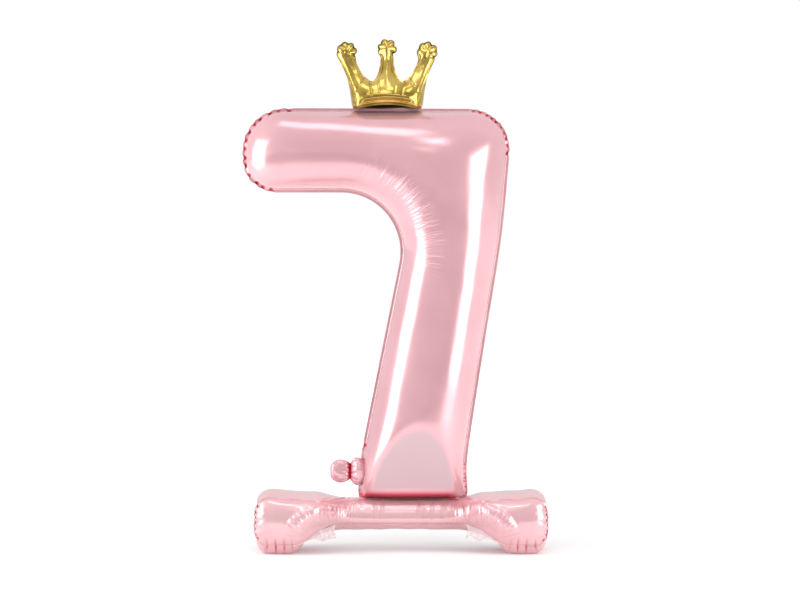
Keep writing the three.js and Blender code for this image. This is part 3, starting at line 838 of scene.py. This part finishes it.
def build_crown():
    weld = resample(smooth_ring(resample(inset_outline(resample(crown_outline(), 1.6), 2.2), 1.6), 2), 1.4)
    panel = Panel(weld, 1.7, 2.2, 16.0, band_rows=5)
    phi = inflation(panel)
    puckers = Puckers(panel, crown_pitch, 61, notch=2.8, reach=7.0)
    out = []
    for side, word in ((FRONT, "front"), (BACK, "back")):
        foil = chamber_panel(
            f"crown_foil_{word}",
            panel,
            phi,
            CROWN_LOOK,
            side,
            puckers,
            70 + side,
            offset=crown_half_depth,
            swell=crown_swell,
            crevice=crown_band_painted_shade,
        )
        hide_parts(f"crown_{word}_panel")
        out.append(foil)
    z = weld[:, 1] - CROWN_Z
    x = weld[:, 0] - CROWN_X
    left = int(np.argmin(np.hypot(x + 68, z - 70)))
    right = int(np.argmin(np.hypot(x - 68, z - 70)))
    columns = np.roll(np.arange(panel.count), -left)[: (right - left) % panel.count + 1]
    foil = gusset_object(
        "crown_foil_sides_and_foot",
        panel,
        columns,
        puckers,
        crown_half_depth,
        crown_bulge,
        13,
        80,
        floor=CROWN_Z + 1.8,
        dark=crown_underside_painted_shade,
        taper=22,
    )
    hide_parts("crown_side_and_foot_gusset")
    out.append(foil)
    for foil in out:
        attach(foil, "crown")
    return out


# ---------------------------------------------------------------- filling tail and clear tails

TAIL_Z = 131.0


def lathe_faces(rows, cols):
    """Faces of a tube whose rings run along X."""
    faces = []
    for i in range(rows - 1):
        for j in range(cols):
            k = (j + 1) % cols
            faces.append((i * cols + j, (i + 1) * cols + j, (i + 1) * cols + k, i * cols + k))
    return faces


def gathered_tube(name, starts, half_heights, depths, folds, seed, pinched, cap):
    """A tube of film along X whose ends are gathered into folds.

    starts, half_heights and depths are the tube's places along X and its half sizes there, and folds
    the depth of its folds there, as a share of its size. pinched is where it is tied off, and how far
    from there the painted shade reaches.
    """
    rows, cols = 56, 120
    u = np.linspace(0, 1, rows)
    at = np.linspace(0, 1, len(starts))
    x = np.interp(u, at, starts)[:, None]
    smooth = [np.interp(u, at, values) for values in (half_heights, depths, folds)]
    for _ in range(12):
        smooth = [
            np.concatenate([v[:1], 0.25 * v[:-2] + 0.5 * v[1:-1] + 0.25 * v[2:], v[-1:]]) for v in smooth
        ]
    tall, deep, gather = (v[:, None] for v in smooth)
    v = np.linspace(0, 2 * np.pi, cols, endpoint=False)[None]
    rng = np.random.default_rng(seed)
    groove = np.zeros((rows, cols))
    angle = 0.0
    while angle < 2 * np.pi - 0.2:
        twist = rng.uniform(-0.35, 0.35)
        t = (v - angle - twist * (u[:, None] - 0.5) + np.pi) % (2 * np.pi) - np.pi
        groove = np.maximum(groove, rng.uniform(0.5, 1.0) * np.exp(-((t / 0.11) ** 2)))
        angle += rng.uniform(0.38, 0.75)
    shrink = 1 - gather * groove
    y = deep * np.sin(v) * shrink
    z = TAIL_Z + tall * np.cos(v) * shrink
    p = np.stack([x + 0 * v, y, z], 2).reshape(-1, 3)
    for axis in range(3):
        p[:, axis] += wobble(p, seed + axis, 22, 0.35)
    faces = lathe_faces(rows, cols)
    if cap:
        faces.append(tuple(range(cols)))
    # Painted shade down the grooves of the folds and where the tube is tied off.
    pinch = smoothstep(-np.abs(x - pinched[0]), -pinched[1], 0) + 0 * v
    painted_shading = np.maximum(groove * gather * 2.2, pinch).reshape(-1)
    return mesh_object(name, p, faces, painted_shading=painted_shading)


def build_tail():
    """The neck, rolled back into a ball, and the puffed root of the stem that it is gathered into."""
    ball = gathered_tube(
        "filling_tail_foil",
        (-106, -105, -101.5, -95, -88, -81, -75.5, -71, -69.5),
        (2.5, 9, 15, 18.6, 19.4, 18.4, 15.5, 11.5, 10),
        (1.5, 4, 7, 9.5, 10.2, 9.6, 7.5, 5, 4),
        (0, 0, 0, 0.01, 0.03, 0.1, 0.26, 0.38, 0.4),
        7,
        (-71, 11),
        True,
    )
    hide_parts("neck_front_foil", "neck_back_foil")
    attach(ball, "filling_tail")
    root = gathered_tube(
        "neck_root_foil",
        (-74, -72.5, -69, -64, -58, -52, -46),
        (10, 15, 20.5, 23.5, 22.5, 18, 10),
        (4, 8, 13.5, 18, 20, 18, 10),
        (0.42, 0.3, 0.14, 0.06, 0.02, 0.01, 0),
        17,
        (-74, 5),
        False,
    )
    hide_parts("neck_root_sleeve")
    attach(root, "number")
    return [ball, root]


def build_clear_tails():
    """The crumpled clear ends of the base's valves, one under each shoulder."""
    out = []
    for side, word in ((-1, "left"), (1, "right")):
        low, high = (np.array(c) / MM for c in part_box(f"base_valve_tail_{word}"))
        cols, rows = 40, 26
        u = np.linspace(0, 1, cols)[:, None]
        v = np.linspace(0, 1, rows)[None]
        near, far = (low[0], high[0]) if side > 0 else (high[0], low[0])
        x = lerp(near, far, u) + 0 * v
        top = lerp(high[2], high[2] - 14, u)
        z = lerp(top, low[2] + 7 + 1.5 * np.sin(9 * u), v)
        y = lerp(high[1], low[1], u) + 0 * v
        p = np.stack([x, y, z], 2).reshape(-1, 3)
        loose = (0.15 + 0.85 * np.tile(v, (cols, 1)).reshape(-1)) * 1.0
        seed = 90 + side
        p[:, 1] += loose * (wobble(p, seed, 16, 2.4) + np.abs(wobble(p, seed + 1, 9, 1.2)))
        p[:, 0] += loose * wobble(p, seed + 2, 14, 1.8)
        p[:, 2] += loose * wobble(p, seed + 3, 18, 1.4)
        faces = []
        for i in range(cols - 1):
            for j in range(rows - 1):
                a = i * rows + j
                faces.append((a, a + 1, a + rows + 1, a + rows))
        tail = mesh_object(f"clear_valve_tail_{word}", p, faces)
        solid = tail.modifiers.new("film", "SOLIDIFY")
        solid.thickness = 0.0003
        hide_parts(f"base_valve_tail_{word}")
        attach(tail, f"{word}_valve_tail")
        out.append(tail)
    return out


# ---------------------------------------------------------------- materials


def nodes_of(name):
    material = bpy.data.materials.new(name)
    material.use_nodes = True
    tree = material.node_tree
    return material, tree, tree.nodes["Principled BSDF"]


def noise_node(tree, vector, scale, detail=2.0, roughness=0.5, distortion=0.0):
    node = tree.nodes.new("ShaderNodeTexNoise")
    node.inputs["Scale"].default_value = scale
    node.inputs["Detail"].default_value = detail
    node.inputs["Roughness"].default_value = roughness
    node.inputs["Distortion"].default_value = distortion
    tree.links.new(vector, node.inputs["Vector"])
    return node.outputs["Fac"]


def math_node(tree, operation, a, b=None, c=None, clamp=False):
    node = tree.nodes.new("ShaderNodeMath")
    node.operation = operation
    node.use_clamp = clamp
    for k, value in enumerate((a, b, c)):
        if value is None:
            continue
        if isinstance(value, (int, float)):
            node.inputs[k].default_value = value
        else:
            tree.links.new(value, node.inputs[k])
    return node.outputs[0]


def range_node(tree, value, low, high, to_low=0.0, to_high=1.0, smooth=True):
    node = tree.nodes.new("ShaderNodeMapRange")
    node.interpolation_type = "SMOOTHSTEP" if smooth else "LINEAR"
    for key, number in (("From Min", low), ("From Max", high), ("To Min", to_low), ("To Max", to_high)):
        node.inputs[key].default_value = number
    tree.links.new(value, node.inputs["Value"])
    return node.outputs["Result"]


def mix_node(tree, factor, a, b):
    """A colour between a and b, each a socket or three numbers."""
    node = tree.nodes.new("ShaderNodeMix")
    node.data_type = "RGBA"
    tree.links.new(factor, node.inputs["Factor"])
    for key, value in (("A", a), ("B", b)):
        if isinstance(value, tuple):
            node.inputs[key].default_value = (*value, 1)
        else:
            tree.links.new(value, node.inputs[key])
    return node.outputs["Result"]


def radial_folds(tree, position, centre, radii, angles, pitch, amount):
    """Height of fine folds that fan out round a point of the front view, in metres and degrees."""
    split = tree.nodes.new("ShaderNodeSeparateXYZ")
    tree.links.new(position, split.inputs[0])
    x = math_node(tree, "SUBTRACT", split.outputs[0], centre[0])
    z = math_node(tree, "SUBTRACT", split.outputs[2], centre[1])
    angle = math_node(tree, "ARCTAN2", z, x)
    r = math_node(
        tree, "SQRT",
        math_node(tree, "ADD", math_node(tree, "POWER", x, 2.0), math_node(tree, "POWER", z, 2.0)),
    )
    middle = (radii[1] + radii[2]) / 2
    across = math_node(tree, "MULTIPLY", angle, middle / pitch)
    along = math_node(tree, "MULTIPLY", r, 9.0)
    join = tree.nodes.new("ShaderNodeCombineXYZ")
    tree.links.new(across, join.inputs[0])
    tree.links.new(along, join.inputs[1])
    ridge = noise_node(tree, join.outputs[0], 1.0, 1.0, 0.4)
    ridge = math_node(tree, "ABSOLUTE", math_node(tree, "SUBTRACT", ridge, 0.5))
    mask = math_node(
        tree, "MULTIPLY",
        range_node(tree, r, radii[0], radii[1]), range_node(tree, r, radii[2], radii[3], 1.0, 0.0),
    )
    a = [math.radians(v) for v in angles]
    mask = math_node(tree, "MULTIPLY", mask, range_node(tree, angle, a[0], a[1]))
    mask = math_node(tree, "MULTIPLY", mask, range_node(tree, angle, a[2], a[3], 1.0, 0.0))
    return math_node(tree, "MULTIPLY", math_node(tree, "MULTIPLY", ridge, mask), amount)


def foil_material(name, colours, metallic, roughness, coat, folds=(), crinkle=0.00012, clouds=9.0):
    """Metallised film: a tinted mirror under lacquer, with painted shade where the film is folded.

    colours are the film's two tones, a painted reflection for folds, where light is mirrored from one
    face to the other, a painted shade for deep down in crevices, and a painted paler reflection where
    the film is taut.
    """
    material, tree, shader = nodes_of(name)
    position = tree.nodes.new("ShaderNodeTexCoord").outputs["Object"]
    shader.inputs["Metallic"].default_value = metallic
    shader.inputs["Coat Weight"].default_value = coat[0]
    shader.inputs["Coat Roughness"].default_value = coat[1]
    cloud = noise_node(tree, position, clouds, 3.0)
    tone = mix_node(tree, range_node(tree, cloud, 0.3, 0.7), colours[0], colours[1])
    painted_shading = tree.nodes.new("ShaderNodeAttribute")
    painted_shading.attribute_name = "painted_shading"
    # Painted paler reflection where the film is taut, painted reflection in folds and painted shade deep
    # down in crevices.
    painted_paler_reflection = math_node(tree, "MULTIPLY", painted_shading.outputs["Fac"], -2.0, clamp=True)
    tone = mix_node(tree, painted_paler_reflection, tone, colours[4])
    tone = mix_node(tree, range_node(tree, painted_shading.outputs["Fac"], 0.05, 0.65, 0.0, 0.95), tone, colours[2])
    tone = mix_node(tree, range_node(tree, painted_shading.outputs["Fac"], 0.6, 1.0), tone, colours[3])
    tree.links.new(tone, shader.inputs["Base Color"])
    rough = noise_node(tree, position, 24.0, 3.0)
    tree.links.new(
        range_node(tree, rough, 0.25, 0.75, roughness[0], roughness[1]), shader.inputs["Roughness"]
    )
    height = math_node(tree, "MULTIPLY", noise_node(tree, position, 30.0, 2.0, 0.4), crinkle)
    fine = math_node(tree, "MULTIPLY", noise_node(tree, position, 170.0, 2.0, 0.5), crinkle * 0.12)
    height = math_node(tree, "ADD", height, fine)
    for fold_lines in folds:
        height = math_node(tree, "ADD", height, radial_folds(tree, position, *fold_lines))
    bump = tree.nodes.new("ShaderNodeBump")
    bump.inputs["Strength"].default_value = 1.0
    bump.inputs["Distance"].default_value = 1.0
    tree.links.new(height, bump.inputs["Height"])
    tree.links.new(bump.outputs["Normal"], shader.inputs["Normal"])
    return material


def clear_material():
    material, tree, shader = nodes_of("clear_film")
    position = tree.nodes.new("ShaderNodeTexCoord").outputs["Object"]
    shader.inputs["Roughness"].default_value = 0.12
    shader.inputs["IOR"].default_value = 1.5
    shader.inputs["Alpha"].default_value = 0.55
    shader.inputs["Coat Weight"].default_value = 0.6
    shader.inputs["Coat Roughness"].default_value = 0.05
    cloud = noise_node(tree, position, 60.0, 3.0)
    tree.links.new(
        mix_node(tree, cloud, (0.93, 0.80, 0.82), (0.80, 0.62, 0.66)), shader.inputs["Base Color"]
    )
    bump = tree.nodes.new("ShaderNodeBump")
    bump.inputs["Distance"].default_value = 0.0008
    tree.links.new(noise_node(tree, position, 140.0, 3.0), bump.inputs["Height"])
    tree.links.new(bump.outputs["Normal"], shader.inputs["Normal"])
    return material


def paint(objects, material):
    for obj in objects:
        obj.data.materials.clear()
        obj.data.materials.append(material)


# ---------------------------------------------------------------- studio


def area_light(name, place, aim, size, power, diffuse=1.0):
    light = bpy.data.lights.new(name, "AREA")
    light.shape = "RECTANGLE"
    light.size, light.size_y = size
    light.energy = power
    light.diffuse_factor = diffuse
    obj = bpy.data.objects.new(name, light)
    bpy.context.scene.collection.objects.link(obj)
    obj.location = place
    direction = Vector(aim) - Vector(place)
    obj.rotation_euler = direction.to_track_quat("-Z", "Y").to_euler()
    obj.visible_camera = False
    return obj


def grey(tree, value):
    node = tree.nodes.new("ShaderNodeCombineColor")
    for k in range(3):
        tree.links.new(value, node.inputs[k])
    return node.outputs[0]


FLOOR_GLOW = (0.0, 0.34)
FLOOR_SHADE_Y = 0.16  # behind the feet: the middle of the painted shadow, where the floor's glow fades out
ROOM_SPREAD, ROOM_TONES = (-1.0, -0.1), (0.50, 0.76)
CEILING = 0.22  # how much lighter the room is overhead


def build_dark_card():
    """A dark card on the floor before the object, seen only in the foil, with a soft far edge."""
    mesh = bpy.data.meshes.new("dark_card")
    mesh.from_pydata(
        [(-6, -9, 0.004), (6, -9, 0.004), (6, -0.6, 0.004), (-6, -0.6, 0.004)], [], [(0, 1, 2, 3)]
    )
    card = bpy.data.objects.new("dark_card", mesh)
    bpy.context.scene.collection.objects.link(card)
    card.visible_camera = card.visible_diffuse = card.visible_shadow = False
    material, tree, shader = nodes_of("dark_card")
    position = tree.nodes.new("ShaderNodeTexCoord").outputs["Object"]
    split = tree.nodes.new("ShaderNodeSeparateXYZ")
    tree.links.new(position, split.inputs[0])
    tone = mix_node(tree, noise_node(tree, position, 3.0), (0.30, 0.29, 0.29), (0.36, 0.35, 0.35))
    tree.links.new(tone, shader.inputs["Base Color"])
    tree.links.new(range_node(tree, split.outputs[1], -1.3, -0.7, 1.0, 0.0), shader.inputs["Alpha"])
    shader.inputs["Roughness"].default_value = 0.9
    paint([card], material)


def build_studio():
    scene = bpy.context.scene
    world = bpy.data.worlds.new("studio")
    scene.world = world
    world.use_nodes = True
    tree = world.node_tree
    background = tree.nodes["Background"]
    # The room is darker in front, where the camera stands, and lighter to the sides and above.
    path = tree.nodes.new("ShaderNodeLightPath")
    split = tree.nodes.new("ShaderNodeSeparateXYZ")
    tree.links.new(tree.nodes.new("ShaderNodeTexCoord").outputs["Generated"], split.inputs[0])
    ahead = math_node(tree, "MULTIPLY", split.outputs[0], -0.22)
    ahead = math_node(tree, "MULTIPLY_ADD", split.outputs[1], 0.97, ahead)
    room = range_node(tree, ahead, *ROOM_SPREAD, *ROOM_TONES)
    room = math_node(tree, "ADD", room, range_node(tree, split.outputs[2], 0.05, 0.9, 0.0, CEILING))
    room = mix_node(tree, path.outputs["Is Camera Ray"], grey(tree, room), (1.0, 1.0, 1.0))
    tree.links.new(room, background.inputs["Color"])
    area_light("softbox_right", (1.35, -0.85, 0.62), (0, 0, 0.42), (0.75, 1.3), 12, 0.1)
    area_light("softbox_left", (-1.5, -0.6, 0.58), (0, 0, 0.42), (0.8, 1.3), 12)
    area_light("softbox_top", (0.25, -1.3, 2.1), (0, 0, 0.5), (0.45, 0.3), 1.6)
    area_light("softbox_overhead", (-0.35, -0.6, 2.1), (0, 0, 0.5), (0.9, 0.45), 2.6)
    area_light("softbox_arm_end", (-0.70, -0.17, 0.60), (-0.2, -0.05, 0.62), (0.28, 0.26), 0.9, 0.15)
    area_light("softbox_front", (0.03, -2.0, 1.95), (0, 0, 0.7), (0.4, 0.18), 0.38)

    floor = bpy.data.meshes.new("floor")
    size = 12.0
    floor.from_pydata(
        [(-size, -size, 0), (size, -size, 0), (size, size, 0), (-size, size, 0)], [], [(0, 1, 2, 3)]
    )
    ground = bpy.data.objects.new("floor", floor)
    scene.collection.objects.link(ground)
    material, tree, shader = nodes_of("pale_floor")
    position = tree.nodes.new("ShaderNodeTexCoord").outputs["Object"]
    shade = range_node(tree, noise_node(tree, position, 3.0, 2.0), 0.2, 0.8, 0.87, 0.90, False)
    split = tree.nodes.new("ShaderNodeSeparateXYZ")
    tree.links.new(position, split.inputs[0])
    tree.links.new(grey(tree, shade), shader.inputs["Base Color"])
    shader.inputs["Roughness"].default_value = 0.6
    shader.inputs["Specular IOR Level"].default_value = 0.2
    # The floor glows, more away from the object: painted light that keeps the floor white, with a painted
    # soft shadow round and behind the feet where the glow fades.
    along = math_node(tree, "MULTIPLY", split.outputs[0], 0.55)
    away = math_node(tree, "SUBTRACT", split.outputs[1], FLOOR_SHADE_Y)
    flat_distance = math_node(
        tree, "SQRT", math_node(tree, "MULTIPLY_ADD", along, along, math_node(tree, "MULTIPLY", away, away))
    )
    glow = range_node(tree, flat_distance, 0.05, 0.5, *FLOOR_GLOW)
    shader.inputs["Emission Color"].default_value = (1, 1, 1, 1)
    tree.links.new(glow, shader.inputs["Emission Strength"])
    paint([ground], material)
    build_dark_card()

    camera = bpy.data.cameras.new("camera")
    camera.lens = 109.95
    camera.sensor_width = 36.0
    camera.clip_end = 50
    obj = bpy.data.objects.new("camera", camera)
    scene.collection.objects.link(obj)
    obj.location = (0.0082, -4.0, 0.411)
    obj.rotation_euler = (math.pi / 2, 0, 0)
    scene.camera = obj
    scene.view_settings.view_transform = "Standard"
    scene.view_settings.look = "None"


# ---------------------------------------------------------------- assembly

# The last three colours of each foil are painted light: the painted reflection in folds, the painted shade
# deep down in crevices and the painted paler reflection where the film is taut.
PINK = (
    (0.76, 0.44, 0.47), (0.71, 0.39, 0.425), (0.60, 0.02, 0.06), (0.24, 0.001, 0.008), (0.58, 0.41, 0.435),
)
# The base's copy of the pink foil has lighter tones than the number's: painted light on the same foil.
PINK_BASE_PAINTED_LIGHT = ((0.80, 0.50, 0.525), (0.76, 0.44, 0.47), *PINK[2:])
GOLD = ((0.74, 0.52, 0.14), (0.46, 0.32, 0.06), (0.13, 0.08, 0.01), (0.05, 0.03, 0.003), (0.8, 0.62, 0.24))
PINK_METAL, PINK_ROUGH, PINK_COAT = 0.45, (0.16, 0.22), (0.4, 0.12)
GOLD_ROUGH, GOLD_COAT = (0.12, 0.2), (0.2, 0.08)

elbow_folds = (
    (ELBOW[0] * MM, ELBOW[1] * MM), (0.120, 0.132, 0.158, 0.178), (-22, -2, 62, 84), 0.0056, 0.0024
)
left_folds = (
    ((BASE_X - SHOULDER_AWAY) * MM, SHOULDER_Z * MM),
    (0.022, 0.030, 0.054, 0.062),
    (60, 75, 150, 165),
    0.0035,
    0.0008,
)
right_folds = (
    ((BASE_X + SHOULDER_AWAY) * MM, SHOULDER_Z * MM),
    (0.022, 0.030, 0.054, 0.062),
    (15, 30, 105, 120),
    0.0035,
    0.0008,
)

number_foil = foil_material("pink_foil_number", PINK, PINK_METAL, PINK_ROUGH, PINK_COAT, (elbow_folds,))
base_foil = foil_material(
    "pink_foil_base_painted_light", PINK_BASE_PAINTED_LIGHT, PINK_METAL, PINK_ROUGH, PINK_COAT, (left_folds, right_folds)
)
crown_foil = foil_material("gold_foil_crown", GOLD, 1.0, GOLD_ROUGH, GOLD_COAT, crinkle=0.0002, clouds=34.0)
clear_film = clear_material()

paint(build_number(), number_foil)
paint(build_tail(), number_foil)
paint(build_base(), base_foil)
paint(build_crown(), crown_foil)
paint(build_clear_tails(), clear_film)
HIDDEN_STRIPS = {"number_joining_strip": base_foil, "crown_fixing_tab": crown_foil}
for node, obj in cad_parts.items():
    if not obj.hide_render:
        paint([obj], HIDDEN_STRIPS.get(node, clear_film))
build_studio()
